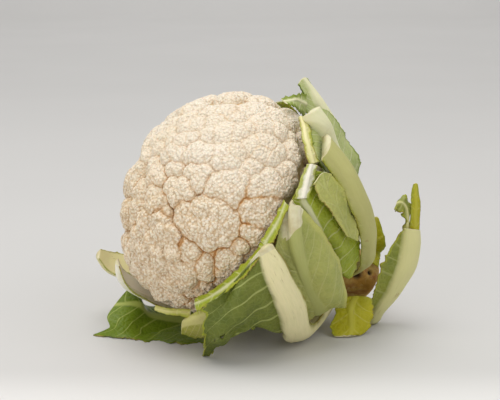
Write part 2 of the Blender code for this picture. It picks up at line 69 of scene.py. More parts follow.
# Florets that have a place of their own: how far they stand proud, then each lobe as
# (lean from the crown, turn, visible radius)
FLORETS = [
    ("crown_right", 0, [(61, 27, 9), (71, 23, 10.4), (83, 24, 10.4), (73, 37, 8.9), (84, 37, 6.2),
                        (92, 24, 5.6)]),
    ("crown_mid", 0, [(44, 20, 8.3), (53, 25, 9), (59, 33, 5.5), (46, 34, 6.2)]),
    ("crown_left", 0, [(31, 11, 7.7), (36, 32, 6.9), (29, 30, 5.5)]),
    ("brow_left", 0, [(26, 321, 6.5), (24, 356, 6.4), (18, 13, 5.6)]),
    ("brow_mid", 0, [(44, 45, 7.5), (52, 45, 8.8), (60, 46, 6.8), (65, 41, 4.8)]),
    ("right_upper", 0, [(69, 53, 8.1), (77, 49, 8.1), (85, 51, 6.1), (75, 56, 6.7), (82, 57, 4.7)]),
    ("right_edge", -1, [(93, 36, 4.8), (94, 44, 5.5), (92, 51, 4.7), (97, 49, 3.4)]),
    ("small_right", -1, [(73, 64, 6), (71, 67, 4.7)]),
    ("right_rim", 0, [(90, 61, 4), (94, 57, 5.4)]),
    ("middle_upper", 0, [(54, 61, 6.7), (61, 59, 6.7), (59, 66, 6), (53, 68, 4.7)]),
    ("middle_left", 0, [(45, 63, 6), (38, 61, 6.1), (42, 67, 4.7), (35, 67, 4.7)]),
    ("wedge", 0, [(41, 78, 6), (48, 76, 6), (47, 83, 5.3), (49, 87, 2.7)]),
    ("left_upper", 0, [(23, 57, 6.2), (30, 66, 5.4), (20, 65, 4.8)]),
    ("left_low", 0, [(11, 87, 6.2), (18, 97, 6.2), (18, 110, 4.1), (24, 99, 3.4)]),
    ("left_small", -1, [(27, 81, 4.7), (32, 79, 4)]),
    ("left_middle", 0, [(33, 97, 6.1), (40, 91, 6), (39, 101, 5.4), (46, 94, 3.3)]),
    ("edge_upper", 0, [(15, 299, 5.7), (4, 308, 5.7)]),
    ("edge_top", 0, [(14, 336, 5.7), (11, 36, 5.6)]),
    ("brow_gap", 0, [(27, 47, 6.2), (34, 48, 5.5), (21, 39, 4.8)]),
    ("edge_big", 0, [(16, 153, 8.4), (25, 117, 7.5), (25, 159, 9.1), (31, 124, 7.5), (40, 115, 3.4),
                     (31, 167, 6.3), (33, 112, 5.4)]),
    ("edge_mid", 0, [(9, 207, 6.4), (4, 219, 4.9), (14, 190, 5.7)]),
    ("centre", 1, [(49, 105, 9.3), (56, 96, 8.6), (65, 92, 8.6), (58, 109, 9.3), (66, 103, 10.6),
                   (73, 95, 7.9), (75, 103, 7.9), (69, 109, 7.3), (77, 98, 5.3), (50, 112, 5.3)]),
    ("centre_upper", 0, [(56, 80, 7.3), (63, 75, 7.9), (70, 73, 6), (63, 82, 6.6), (70, 79, 5.3),
                         (69, 84, 5.3), (56, 85, 4.6)]),
    ("right_big", 0, [(78, 72, 6.6), (85, 67, 8), (94, 65, 6.7), (82, 75, 6), (90, 71, 6), (98, 61, 4.1),
                      (76, 77, 4.6)]),
    ("right_lower", 0, [(78, 84, 6.6), (85, 80, 6.6), (92, 76, 6.7), (82, 88, 6), (89, 84, 6), (95, 85, 5.3),
                        (91, 89, 4), (97, 76, 3.3)]),
    ("low_right", 0, [(85, 95, 5.3), (91, 93, 6), (92, 97, 4.7)]),
    ("low_right_small", 0, [(87, 103, 6.6)]),
    ("low_right_bits", -2, [(95, 101, 4), (94, 108, 3.3), (97, 106, 2.7), (96, 98, 2.7)]),
    ("low_middle", 0, [(83, 111, 6.7), (89, 110, 5.3), (85, 115, 4.7), (92, 113, 3.4)]),
    ("low_middle_end", -1, [(88, 120, 5.4), (92, 118, 5.4), (92, 125, 4.7), (96, 122, 3.4)]),
    ("low_wedge", 0, [(75, 120, 6), (80, 125, 6.7), (76, 124, 4.7), (84, 126, 4)]),
    ("low_gap", -4, [(72, 114, 3.3), (77, 113, 3.3)]),
    ("low_left_small", 0, [(61, 119, 6), (67, 120, 6), (66, 124, 5.4)]),
    ("low_left", 2.5, [(35, 139, 6.8), (40, 124, 7.4), (38, 154, 6.2), (46, 128, 6.8), (51, 120, 6), (56, 120, 4),
                     (44, 141, 6.1), (44, 166, 7), (53, 185, 6.4), (49, 154, 7.6), (53, 139, 7.5), (58, 129, 6.1),
                     (59, 141, 6.1), (57, 169, 8.5), (63, 156, 9), (73, 184, 8.6), (65, 189, 7.4), (68, 134, 8.1),
                     (76, 136, 7.5), (72, 146, 7.5), (72, 128, 5.4), (79, 166, 8.6), (82, 154, 7.8),
                     (82, 178, 7.4), (66, 200, 7.5), (76, 196, 7.5)]),
    ("low_edge", -1, [(82, 139, 6.1), (86, 132, 4.8), (85, 146, 4.8), (89, 139, 4.1), (90, 132, 3.4)]),
    ("low_tip", 0, [(91, 152, 4.2)]),
]

# Leaves traced as lines in mm, left to right as seen from outside, each from the stem to the tip
TRACED = {
    "leaf_middle_front": [
        [(55, 11, 36.5), (50, -11.5, 25), (40, -29.5, 18.5), (34, -42, 26), (26, -53.5, 37.5),
         (18, -64, 51), (14.5, -73, 65.5), (12, -78, 81.5)],
        [(56, 10.5, 37.5), (52.5, -13.5, 28.5), (48, -28.5, 24.5), (44, -45, 34), (37, -57, 49),
         (31, -68, 67.5), (25.5, -75, 87.5), (23, -74, 113)],
        [(57, 10, 39), (55.5, -14, 31), (56.5, -30, 27.5), (58, -46.5, 37.5), (52.5, -58.5, 57),
         (44.5, -68, 77), (35.5, -73.5, 94.5), (26.5, -74, 111.5)],
        [(58, 9.5, 40.5), (59.5, -15.5, 32.5), (64.5, -35, 30), (63.5, -43.5, 47), (58, -52.5, 66),
         (49, -63, 84.5), (39, -70.5, 100), (30, -73, 109.5)],
    ],
    "leaf_outer_front": [
        [(60, 21, 24), (45.5, 2, 12.5), (20, -45, 14), (-10, -75.5, 26), (-32.5, -58, 0),
         (-34.5, -79, 21.5), (-35.5, -85.5, 46)],
        [(60.5, 20.5, 24.5), (46, 1.5, 12.5), (22.5, -42, 13), (2, -68.5, 25), (-20.5, -76.5, 22),
         (-24, -86, 39), (-20.5, -87, 55.5)],
        [(60.5, 20, 24.5), (46.5, 1, 13), (25.5, -39, 12), (13.5, -66, 32), (-0.5, -82, 45), (-8, -89, 60),
         (-7.5, -89, 70.5)],
        [(61, 19.5, 25), (47.5, 1, 15), (30.5, -38, 14.5), (23.5, -64.5, 40.5), (15.5, -78.5, 60),
         (10, -85, 74.5), (5, -89, 86.5)],
        [(62, 18.5, 25.5), (50.5, -2, 18), (37, -36, 15.5), (32.5, -62, 41.5), (23.5, -75.5, 61.5),
         (16, -82.5, 76), (11, -86, 87.5)],
    ],
    "leaf_inner_front": [
        [(48.5, 4.5, 51.5), (49.5, -18, 52), (42.5, -37.5, 57.5), (35.5, -53, 65), (29.5, -65, 76),
         (25.5, -71.5, 90), (24, -70.5, 113), (32, -64.5, 122)],
        [(49, 5, 53), (51.5, -17.5, 56), (47.5, -35, 63.5), (44, -48, 73.5), (43, -59.5, 89),
         (36.5, -66, 104.5), (32, -67.5, 115), (36.5, -57.5, 131)],
        [(50, 5, 54), (54, -17, 59.5), (57, -35, 57), (59.5, -41.5, 70.5), (54.5, -50, 89.5),
         (48.5, -56, 106.5), (42.5, -58.5, 119.5), (45.5, -50, 129)],
        [(50.5, 5.5, 55.5), (56.5, -15.5, 63), (66, -24, 47.5), (73, -16.5, 56), (73.5, -24, 74),
         (69.5, -33.5, 94.5), (62.5, -39.5, 110.5), (54, -39.5, 127)],
    ],
    "leaf_inner_front_fold": [
        [(63, -48.5, 83.5), (56, -57, 95.5), (49, -63, 106), (42, -67, 115.5), (39.5, -66, 124.5)],
        [(66, -45, 81.5), (60, -52.5, 97), (54.5, -58, 108), (48, -61, 118.5), (45, -57.5, 129.5)],
        [(71.5, -38.5, 77.5), (69.5, -42, 93.5), (64, -46, 107.5), (59, -49, 117.5), (51.5, -50.5, 127.5)],
    ],
    "leaf_middle_top": [
        [(66, 16, 58.5), (67, -2, 77.5), (64, -17.5, 95.5), (57, -29.5, 112.5), (41.5, -47, 136.5),
         (39, -40.5, 145), (37.5, -30, 153), (34.5, -19.5, 160)],
        [(66, 19, 60.5), (68, 7, 82), (66, -2, 101.5), (62.5, -8, 117.5), (58.5, -11.5, 130),
         (52, -17, 144), (46, -21, 156), (39, -25, 168)],
        [(66, 21.5, 62), (68, 14.5, 80), (68, 10.5, 95.5), (68.5, 8.5, 109), (69.5, 7, 121.5),
         (62, 0.5, 138), (55, -5, 153.5), (45, -13, 167.5)],
        [(66, 23.5, 62.5), (68, 20, 78), (71.5, 19, 92.5), (75, 20, 108.5), (78, 22, 123.5), (68, 16, 138),
         (62, 10.5, 150.5), (52.5, 0.5, 163.5)],
    ],
    "leaf_outer_top": [
        [(76.5, 32, 57), (77, 31, 73), (74.5, 29.5, 95.5), (68, 26.5, 118.5), (49, 17, 147.5),
         (39.5, 14.5, 158), (36, 14.5, 165.5), (35, 17.5, 173), (31.5, 19.5, 180.5)],
        [(75, 36.5, 57), (75, 37.5, 73), (71.5, 39, 95.5), (63.5, 38.5, 118.5), (59.5, 40.5, 139),
         (52, 40.5, 152.5), (46, 39.5, 163.5), (40.5, 40.5, 172.5), (34.5, 39, 182)],
        [(73.5, 40, 56.5), (73, 42, 72.5), (68.5, 45.5, 94.5), (60, 46, 117), (65, 55, 138.5),
         (59, 57, 150.5), (52, 56, 162), (46.5, 55.5, 170.5), (39.5, 54.5, 181)],
    ],
    "leaf_old_right": [
        [(74, 24, 11.5), (81.5, 12, 5.5), (84.5, 6, 14.5), (87.5, 2, 27), (90, 0, 38.5), (94, 0, 51.5),
         (98.5, 2, 60.5), (104.5, 6, 69.5), (110, 9, 75.5)],
        [(77.5, 27, 9), (86.5, 17, 1.5), (93, 11, 13.5), (101, 9, 26), (107, 8, 37), (111.5, 8, 46),
         (114, 9, 55), (115.5, 10, 65.5), (116, 11, 74.5)],
        [(80.5, 30, 8), (90.5, 22, 0), (96, 18, 9), (105, 17, 21.5), (112, 17, 30.5), (118, 17, 40),
         (120.5, 17, 49), (121.5, 17, 61), (121.5, 17, 72)],
    ],
    "leaf_old_right_frill": [
        [(110, 10, 71), (110.5, 9, 80), (108.5, 6, 87), (104.5, 1, 89.5), (100.5, -1, 91.5)],
        [(112, 11, 70.5), (112, 10, 80.5), (111, 9, 90), (107, 5, 95.5), (103, 3, 95)],
        [(113.5, 12, 70.5), (114, 12, 80), (114.5, 14, 92), (110.5, 12, 98.5), (105.5, 9, 98)],
    ],
    "leaf_old_right_strip": [
        [(114, 12, 69), (114.5, 11, 82.5), (115, 12, 92.5), (115, 13, 101), (116.5, 14, 107.5)],
        [(118, 13, 68.5), (118, 12, 82.5), (118.5, 12, 92.5), (118, 13, 101), (118, 14, 108.5)],
        [(122, 15, 68), (121.5, 15, 82), (122, 15, 91.5), (120.5, 15, 100.5), (119.5, 15, 107.5)],
    ],
    "leaf_old_under": [
        [(67, 5, 24), (60.5, -2, 17), (59, -8, 14), (55, -12, 7), (58.5, -18.5, 0)],
        [(75, 3, 24.5), (71, -5, 19.5), (70.5, -10, 15.5), (70.5, -14, 7.5), (69.5, -18.5, 0)],
        [(82.5, 2, 25), (80.5, -5, 19.5), (80, -9, 15), (79, -12, 8), (78, -13, 1)],
        [(86.5, 1, 23.5), (86.5, -2, 19), (87, -5, 15), (85.5, -7, 10), (84, -8, 5.5)],
    ],
    "leaf_old_behind": [
        [(82.5, 21, 48.5), (84.5, 25, 51.5), (86.5, 30.5, 56), (80.5, 29, 61.5), (90, 31, 79)],
        [(87.5, 22.5, 45.5), (88.5, 26.5, 49), (89.5, 31.5, 54), (89, 28, 62), (91.5, 31, 79.5)],
        [(93, 24.5, 41.5), (94, 28.5, 45.5), (95.5, 33.5, 50.5), (99, 29, 58.5), (93, 32, 78)],
    ],
    "leaf_outer_low": [
        [(54, 39, 25), (28.5, 45, 15.5), (-2, 45, 10), (-32, 38, 9), (-79, 23, 11.5), (-86, 16.5, 23),
         (-95, 15.5, 27)],
        [(54, 36.5, 24), (30, 38, 14), (-1, 34.5, 5.5), (-32.5, 23.5, 1), (-73.5, 8, 8.5), (-85.5, 3, 19),
         (-103.5, 3, 19)],
        [(54.5, 34.5, 23.5), (31, 32.5, 12.5), (2.5, 24, 1.5), (-29, 11, -4.5), (-75.5, -6.5, 2),
         (-91, -10, 11), (-108, -9, 13)],
        [(54.5, 33.5, 23), (30, 30, 11.5), (0.5, 18.5, 1), (-32, 5.5, -4.5), (-71, -11, -1),
         (-92, -16, 4.5), (-106, -16, 7)],
        [(55, 32.5, 23), (29.5, 27, 10.5), (-2, 13, 0), (-38, -29, 0.5), (-68.5, -26.5, 0.5),
         (-94, -22, 0.5), (-119, -13, 0.5)],
    ],
    "leaf_middle_low": [
        [(44.5, 26, 30), (25, 20.5, 16), (0.5, 8.5, 9), (-19.5, -7, 8), (-21, -77, 42.5), (-31, -74.5, 41),
         (-39.5, -67.5, 35.5), (-47.5, -46, 24.5)],
        [(45, 24, 30), (27.5, 16.5, 15.5), (4, 4, 8), (-13.5, -10, 7.5), (-18.5, -73.5, 34.5),
         (-30, -70, 32), (-40.5, -60.5, 26), (-51, -48, 22)],
        [(46, 22, 30), (29.5, 12, 16), (9.5, -1.5, 10), (-5, -15, 6.5), (-17, -65, 23.5),
         (-28.5, -58, 16.5), (-39, -40.5, 7), (-52, -44, 11.5)],
    ],
    "leaf_outer_top_fold": [
        [(37, 14.5, 173.5), (34, 11.5, 174.5), (29.5, 6.5, 174.5), (23.5, 0, 173.5), (18.5, -5.5, 172.5)],
        [(37, 11.5, 167), (33.5, 8.5, 169), (29.5, 4, 171), (26, -2, 171), (20.5, -8, 171)],
        [(36.5, 9, 157.5), (33, 4.5, 161.5), (30, -1.5, 164.5), (26.5, -8, 167.5), (22.5, -12.5, 170)],
    ],
    "leaf_middle_top_strip": [
        [(36.5, -51.5, 134.5), (33.5, -46.5, 143.5), (32.5, -39.5, 150.5), (32, -29.5, 156.5),
         (31, -19.5, 161.5)],
        [(39.5, -51, 134.5), (37, -46.5, 143.5), (35, -40, 150.5), (34, -31.5, 157), (32, -21.5, 162.5)],
        [(43, -47, 135), (40.5, -45, 143), (38.5, -38, 150.5), (37.5, -29, 156.5), (33.5, -22, 162.5)],
    ],
    "leaf_inner_front_strip": [
        [(26, -72.5, 114.5), (28, -68.5, 121.5), (31, -63.5, 128), (34.5, -56.5, 135)],
        [(31.5, -70.5, 114.5), (33.5, -66.5, 121), (35.5, -62, 127.5), (38, -55, 135)],
        [(35.5, -68, 114.5), (38, -63.5, 120.5), (40.5, -59, 126.5), (41.5, -53, 133.5)],
    ],
    "leaf_outer_front_rim": [
        [(7, -79, 91), (1.5, -81, 82), (-8, -81, 71), (-19.5, -79.5, 61), (-32.5, -74.5, 49.5),
         (-40, -71, 44.5)],
        [(8.5, -84, 88), (1, -86, 78.5), (-7.5, -86, 68), (-18.5, -85, 58), (-31.5, -80.5, 48),
         (-40.5, -78, 43.5)],
        [(8.5, -88, 84.5), (0.5, -89.5, 75), (-7.5, -89.5, 65.5), (-18.5, -87.5, 55), (-32, -84, 44),
         (-39, -81.5, 40)],
    ],
    "leaf_middle_front_rim": [
        [(19.5, -71.5, 114), (14.5, -75.5, 104.5), (9, -78.5, 95.5), (4, -81, 88)],
        [(20.5, -74.5, 112.5), (16.5, -78.5, 103), (11, -81, 93.5), (6, -83.5, 86)],
        [(22.5, -76.5, 111), (18.5, -80.5, 101.5), (14, -83.5, 91.5), (8.5, -85.5, 84)],
    ],
    "leaf_middle_low_strip": [
        [(-69.5, -42, 32), (-61, -46, 31), (-52.5, -49, 31.5), (-44, -51, 32)],
        [(-70, -43, 30), (-61, -47, 29), (-52, -50, 29.5), (-44.5, -52, 29.5)],
        [(-70, -43, 28.5), (-61.5, -47, 27), (-53, -50, 26.5), (-45, -52, 25.5)],
    ],
}


def blend(values, s):
    """Read a list of numbers, spread evenly from 0 to 1, as a smooth curve at s."""
    last = len(values) - 1
    place = min(max(s, 0.0), 1.0) * last
    i = min(int(place), last - 1)
    f = place - i
    before, here = values[max(i - 1, 0)], values[i]
    there, after = values[i + 1], values[min(i + 2, last)]
    slope_a, slope_b = (there - before) / 2, (after - here) / 2
    return (here * (2 * f**3 - 3 * f**2 + 1) + slope_a * (f**3 - 2 * f**2 + f)
            + there * (3 * f**2 - 2 * f**3) + slope_b * (f**3 - f**2))


def head_matrix():
    """The head's own frame: +Z to the crown, +X to turn 0."""
    rise, swing = math.radians(CROWN_RISE), math.radians(CROWN_TOWARDS_FRONT)
    crown = Vector((-math.cos(rise) * math.cos(swing), -math.cos(rise) * math.sin(swing), math.sin(rise)))
    top = (Vector((0, 0, 1)) - crown * crown.z).normalized()
    side = crown.cross(top)
    matrix = Matrix((top, side, crown)).transposed().to_4x4()
    matrix.translation = Vector((*HEAD_OFFSET, CENTRE_HEIGHT)) * MM
    return matrix


HEAD = head_matrix()


def around(h, r, turn):
    """A point of the head, as a world point."""
    angle = math.radians(turn)
    return HEAD @ (Vector((r * math.cos(angle), -r * math.sin(angle), h)) * MM)


class Finish:
    """One material: each call adds a node and gives its output back."""

    def __init__(self, name, roughness=0.5):
        self.material = bpy.data.materials.new(name)
        self.material.use_nodes = True
        self.tree = self.material.node_tree
        self.shader = self.tree.nodes["Principled BSDF"]
        self.shader.inputs["Roughness"].default_value = roughness

    def put(self, socket, value):
        if isinstance(value, bpy.types.NodeSocket):
            self.tree.links.new(value, socket)
        elif isinstance(value, tuple) and len(value) == 3 and len(socket.default_value) == 4:
            socket.default_value = (*value, 1)
        else:
            socket.default_value = value

    def place(self):
        return self.tree.nodes.new("ShaderNodeTexCoord").outputs["Object"]

    def height(self):
        """How high above the surface the cauliflower lies on, in metres."""
        node = self.tree.nodes.new("ShaderNodeSeparateXYZ")
        self.put(node.inputs[0], self.place())
        return node.outputs["Z"]

    def ahead(self):
        """How far the spot is behind the middle, in metres."""
        node = self.tree.nodes.new("ShaderNodeSeparateXYZ")
        self.put(node.inputs[0], self.place())
        return node.outputs["Y"]

    def layer(self, name):
        node = self.tree.nodes.new("ShaderNodeAttribute")
        node.attribute_name = name
        return node.outputs["Fac"]

    def math(self, operation, a, b=0.0, c=0.0):
        node = self.tree.nodes.new("ShaderNodeMath")
        node.operation = operation
        for socket, value in zip(node.inputs, (a, b, c)):
            self.put(socket, value)
        return node.outputs[0]

    def fade(self, value, start, end, low=0.0, high=1.0):
        """A smooth change from low to high as value goes from start to end."""
        node = self.tree.nodes.new("ShaderNodeMapRange")
        node.interpolation_type = "SMOOTHSTEP"
        for name, v in (("Value", value), ("From Min", start), ("From Max", end), ("To Min", low),
                        ("To Max", high)):
            self.put(node.inputs[name], v)
        return node.outputs[0]

    def mix(self, amount, a, b):
        node = self.tree.nodes.new("ShaderNodeMix")
        node.data_type = "RGBA"
        self.put(node.inputs["Factor"], amount)
        self.put(node.inputs[6], a)
        self.put(node.inputs[7], b)
        return node.outputs[2]

    def noise(self, scale, detail=3.0, rough=0.5, at=None):
        node = self.tree.nodes.new("ShaderNodeTexNoise")
        self.put(node.inputs["Vector"], at or self.place())
        self.put(node.inputs["Scale"], scale)
        self.put(node.inputs["Detail"], detail)
        self.put(node.inputs["Roughness"], rough)
        return node.outputs["Fac"]

    def cells(self, scale, feature="F1", at=None):
        node = self.tree.nodes.new("ShaderNodeTexVoronoi")
        node.feature = feature
        self.put(node.inputs["Vector"], at or self.place())
        self.put(node.inputs["Scale"], scale)
        return node.outputs["Distance"]

    def stretch(self, x, y, z):
        node = self.tree.nodes.new("ShaderNodeMapping")
        self.put(node.inputs["Vector"], self.place())
        node.inputs["Scale"].default_value = (x, y, z)
        return node.outputs[0]

    def join(self, x, y, z):
        node = self.tree.nodes.new("ShaderNodeCombineXYZ")
        for socket, value in zip(node.inputs, (x, y, z)):
            self.put(socket, value)
        return node.outputs[0]

    def bump(self, height, distance, strength=1.0, under=None):
        node = self.tree.nodes.new("ShaderNodeBump")
        self.put(node.inputs["Height"], height)
        node.inputs["Distance"].default_value = distance
        node.inputs["Strength"].default_value = strength
        if under:
            self.put(node.inputs["Normal"], under)
        return node.outputs[0]

    def wear(self, colour, roughness=None, normal=None, **others):
        self.put(self.shader.inputs["Base Color"], colour)
        if roughness is not None:
            self.put(self.shader.inputs["Roughness"], roughness)
        if normal is not None:
            self.put(self.shader.inputs["Normal"], normal)
        for name, value in others.items():
            self.put(self.shader.inputs[name.replace("_", " ")], value)
        return self.material


def curd_finish():
    """Cream curd, paler on the lobes: tan between the grains and orange-brown in the clefts, partly the curd's own
    tan and partly painted shade; painted shade also makes the lower curd darker and tanner.
    """
    f = Finish("curd_grains")
    # cleft, crease and pit mark where painted shade goes: the clefts between florets, the creases between lobes and
    # the gaps between grains
    cleft, crease, pit = f.layer("cleft"), f.layer("crease"), f.layer("pit")
    patch = f.noise(22, 3)
    speck = f.noise(520, 2)
    # low grows towards the bottom of the curd, where painted shade makes it darker and tanner and deepens the tan in
    # its gaps and clefts
    low = f.fade(f.height(), 0.155, 0.09)
    colour = f.mix(f.fade(patch, 0.35, 0.7), (0.88, 0.79, 0.65), (0.85, 0.745, 0.585))
    colour = f.mix(f.math("MULTIPLY", low, 0.25), colour, (0.84, 0.71, 0.50))
    # tan between the grains: partly the curd's own tan, partly painted shade in the gaps, stronger low down
    beads = f.cells(530)
    gaps = f.math("MAXIMUM", f.fade(beads, 0.4, 0.72), f.math("MULTIPLY", f.fade(pit, 0.4, 1.0), 0.6))
    dots = f.math("MULTIPLY", gaps, f.fade(speck, 0.3, 0.6, 0.7, 1.0))
    colour = f.mix(f.math("MULTIPLY", dots, f.fade(low, 0.0, 1.0, 0.25, 0.95)), colour, (0.67, 0.48, 0.28))
    # painted shade in the creases between a floret's lobes, partly the curd's own tan
    colour = f.mix(f.math("MULTIPLY", f.fade(crease, 0.4, 1.0), f.fade(patch, 0.3, 0.65, 0.15, 0.6)),
                   colour, (0.68, 0.47, 0.26))
    # painted shade in the clefts between florets over the curd's own tan: orange-brown, deep brown right in the
    # cleft, stronger low down and in patches
    cleft_tan_and_shade = f.math("MULTIPLY", f.fade(f.noise(40, 2), 0.4, 0.62, 0.4, 1.0), f.fade(low, 0.0, 0.8, 0.2, 1.0))
    colour = f.mix(f.math("MULTIPLY", f.fade(cleft, 0.1, 0.9), cleft_tan_and_shade), colour, (0.64, 0.37, 0.14))
    colour = f.mix(f.math("MULTIPLY", f.fade(cleft, 0.7, 1.0, 0.0, 0.85), cleft_tan_and_shade), colour, (0.42, 0.17, 0.035))
    dot = f.math("MULTIPLY", f.fade(f.cells(62), 0.075, 0.04), f.fade(f.noise(31, 1), 0.55, 0.62))
    colour = f.mix(f.math("MULTIPLY", dot, 0.8), colour, (0.16, 0.12, 0.05))
    fine = f.noise(900, 3, 0.6)
    round_beads = f.math("SUBTRACT", 1.0, f.math("MULTIPLY", beads, beads))
    normal = f.bump(fine, 0.00025, 0.5, f.bump(round_beads, 0.0013, 0.9))
    return f.wear(colour, f.fade(patch, 0.3, 0.7, 0.5, 0.66), normal,
                  Subsurface_Weight=0.12, Subsurface_Radius=(0.0014, 0.0009, 0.0006), Subsurface_Scale=1.0)


def core_finish():
    """The branches under the florets: cream-green, browner where they dried."""
    f = Finish("curd_branches", 0.6)
    colour = f.mix(f.fade(f.noise(45, 4), 0.35, 0.7), (0.62, 0.52, 0.30), (0.50, 0.30, 0.12))
    return f.wear(colour, None, f.bump(f.noise(300, 3), 0.0006, 0.8))


def leaf_finish(name, blade, blade_other, rib, vein, rib_marks=0.25, gap=11.0, lean=0.75,
                dry=(0.33, 0.24, 0.05),
                roughness=0.46, margin=(0.36, 0.39, 0.03), margin_width=2.5, vein_show=0.85):
    """Leaf: a pale rib that fades into a veined blade, with a cut end and a dry rim."""
    f = Finish(name)
    off, along, rim, cut = f.layer("off_rib"), f.layer("along"), f.layer("rim"), f.layer("cut")
    wander = f.noise(30, 2)
    patch = f.noise(38, 4, 0.6)
    fine = f.noise(260, 3, 0.6)
    colour = f.mix(f.fade(patch, 0.33, 0.68), blade, blade_other)
    colour = f.mix(f.fade(fine, 0.3, 0.7, 0.0, 0.35), colour, blade_other)
    net = f.cells(230, "DISTANCE_TO_EDGE")
    colour = f.mix(f.fade(net, 0.08, 0.0, 0.0, 0.16), colour, vein)
    reach = f.math("ADD", f.math("MULTIPLY", wander, 9.0), along)
    lane = f.math("PINGPONG", f.math("DIVIDE", f.math("SUBTRACT", reach, f.math("MULTIPLY", off, lean)), gap), 0.5)
    width = f.fade(off, 0.0, 45.0, 0.085, 0.022)
    line = f.fade(lane, width, f.math("MULTIPLY", width, 0.35))
    line = f.math("MULTIPLY", line, f.fade(off, -2.0, 0.5))
    colour = f.mix(f.math("MULTIPLY", line, vein_show), colour, vein)
    streak = f.noise(1.0, 3, 0.6, f.join(f.math("MULTIPLY", off, 0.9), f.math("MULTIPLY", along, 0.07),
                                         f.math("MULTIPLY", wander, 6.0)))
    rib_colour = f.mix(f.fade(streak, 0.35, 0.7, 0.0, 0.14), rib, vein)
    marks = f.math("MULTIPLY", f.fade(f.noise(85, 3, 0.65), 0.62, 0.72), rib_marks)
    rib_colour = f.mix(f.math("MULTIPLY", marks, 0.6), rib_colour, (0.46, 0.34, 0.15))
    scar = f.math("MULTIPLY", f.fade(streak, 0.63, 0.70), f.fade(f.noise(24, 2), 0.5, 0.6, 0.0, 3 * rib_marks))
    rib_colour = f.mix(scar, rib_colour, (0.34, 0.21, 0.07))
    border = f.math("ADD", rim, f.math("MULTIPLY", f.math("SUBTRACT", patch, 0.5), 2.5 * margin_width))
    colour = f.mix(f.fade(border, margin_width, margin_width * 0.4, 0.0, 0.85), colour, margin)
    on_rib = f.fade(f.math("ADD", off, f.math("MULTIPLY", f.math("SUBTRACT", patch, 0.5), 4.0)), 1.2, -1.4)
    colour = f.mix(on_rib, colour, rib_colour)
    colour = f.mix(f.math("MULTIPLY", f.fade(rim, 1.3, 0.1), f.fade(patch, 0.45, 0.62, 0.1, 0.9)), colour, dry)
    flesh = f.mix(f.fade(f.noise(120, 3), 0.4, 0.65, 0.0, 0.6), (0.74, 0.70, 0.47), (0.55, 0.46, 0.22))
    colour = f.mix(f.math("MULTIPLY", f.fade(cut, 0.7, 0.25), f.fade(off, 14, 4)), colour, flesh)
    quilt = f.math("SUBTRACT", f.fade(net, 0.0, 0.3), f.math("MULTIPLY", line, -0.8))
    height = f.math("MULTIPLY", quilt, f.fade(off, -1.0, 1.5))
    normal = f.bump(height, 0.0005, 0.5, f.bump(fine, 0.0003, 0.35))
    return f.wear(colour, f.fade(patch, 0.3, 0.7, roughness - 0.07, roughness + 0.1), normal,
                  Subsurface_Weight=0.08, Subsurface_Radius=(0.001, 0.0016, 0.0005), Subsurface_Scale=1.0,
                  Specular_IOR_Level=0.3)


def stem_finish():
    """The stem: tan cork with reddish streaks, pale where the rind is whole, painted near-black shade in the hole
    and the nick.
    """
    f = Finish("stem_cork")
    streak = f.noise(1.0, 4, 0.6, f.stretch(70, 220, 220))
    patch = f.noise(55, 4, 0.6)
    colour = f.mix(f.fade(patch, 0.35, 0.62), (0.62, 0.41, 0.12), (0.40, 0.20, 0.03))
    colour = f.mix(f.fade(streak, 0.48, 0.7, 0.0, 0.8), colour, (0.34, 0.13, 0.05))
    colour = f.mix(f.fade(f.noise(140, 3, 0.6), 0.55, 0.68, 0.0, 0.7), colour, (0.58, 0.40, 0.16))
    # painted shade: near-black inside the hole and the nick
    colour = f.mix(f.layer("pit"), colour, (0.02, 0.01, 0.004))
    normal = f.bump(f.noise(170, 5, 0.65), 0.0015, 0.9)
    return f.wear(colour, f.fade(patch, 0.3, 0.7, 0.6, 0.85), normal)


def add_piece(name, bm, finish, node):
    """Turn a finished bmesh into one piece that stands for a node."""
    mesh = bpy.data.meshes.new(name)
    bm.to_mesh(mesh)
    bm.free()
    mesh.shade_smooth()
    mesh.materials.append(finish)
    obj = bpy.data.objects.new(name, mesh)
    bpy.context.scene.collection.objects.link(obj)
    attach(obj, "root")
    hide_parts(node)
    return obj


def dome(lean, turn):
    """A spot on the curd's dome and the way out from it, in the head's frame."""
    a, b = math.radians(lean), math.radians(turn)
    rise = CURD_RISE if math.cos(a) > 0 else CURD_RADIUS
    spot = np.array([CURD_RADIUS * math.sin(a) * math.cos(b), -CURD_RADIUS * math.sin(a) * math.sin(b),
                     rise * math.cos(a)])
    out = spot / np.array([CURD_RADIUS**2, CURD_RADIUS**2, rise**2])
    return spot, out / np.linalg.norm(out)


def spiral(count, seed, jitter=0.3):
    """Directions spread evenly over a sphere, a little shaken."""
    rng = np.random.default_rng(seed)
    i = np.arange(count)
    z = 1 - (i + 0.5) / count * 2
    ring, angle = np.sqrt(1 - z * z), i * math.radians(137.508)
    spots = np.stack([ring * np.cos(angle), ring * np.sin(angle), z], axis=1)
    spots += rng.normal(0, jitter * math.sqrt(4 * math.pi / count), spots.shape)
    return spots / np.linalg.norm(spots, axis=1, keepdims=True)


def nearest(ways, spots):
    """How far each way is from the nearest of the spots, as an angle."""
    best = np.concatenate([(part @ spots.T).max(axis=1) for part in np.array_split(ways, 1 + len(ways) // 4000)])
    return np.arccos(np.clip(best, -1, 1))


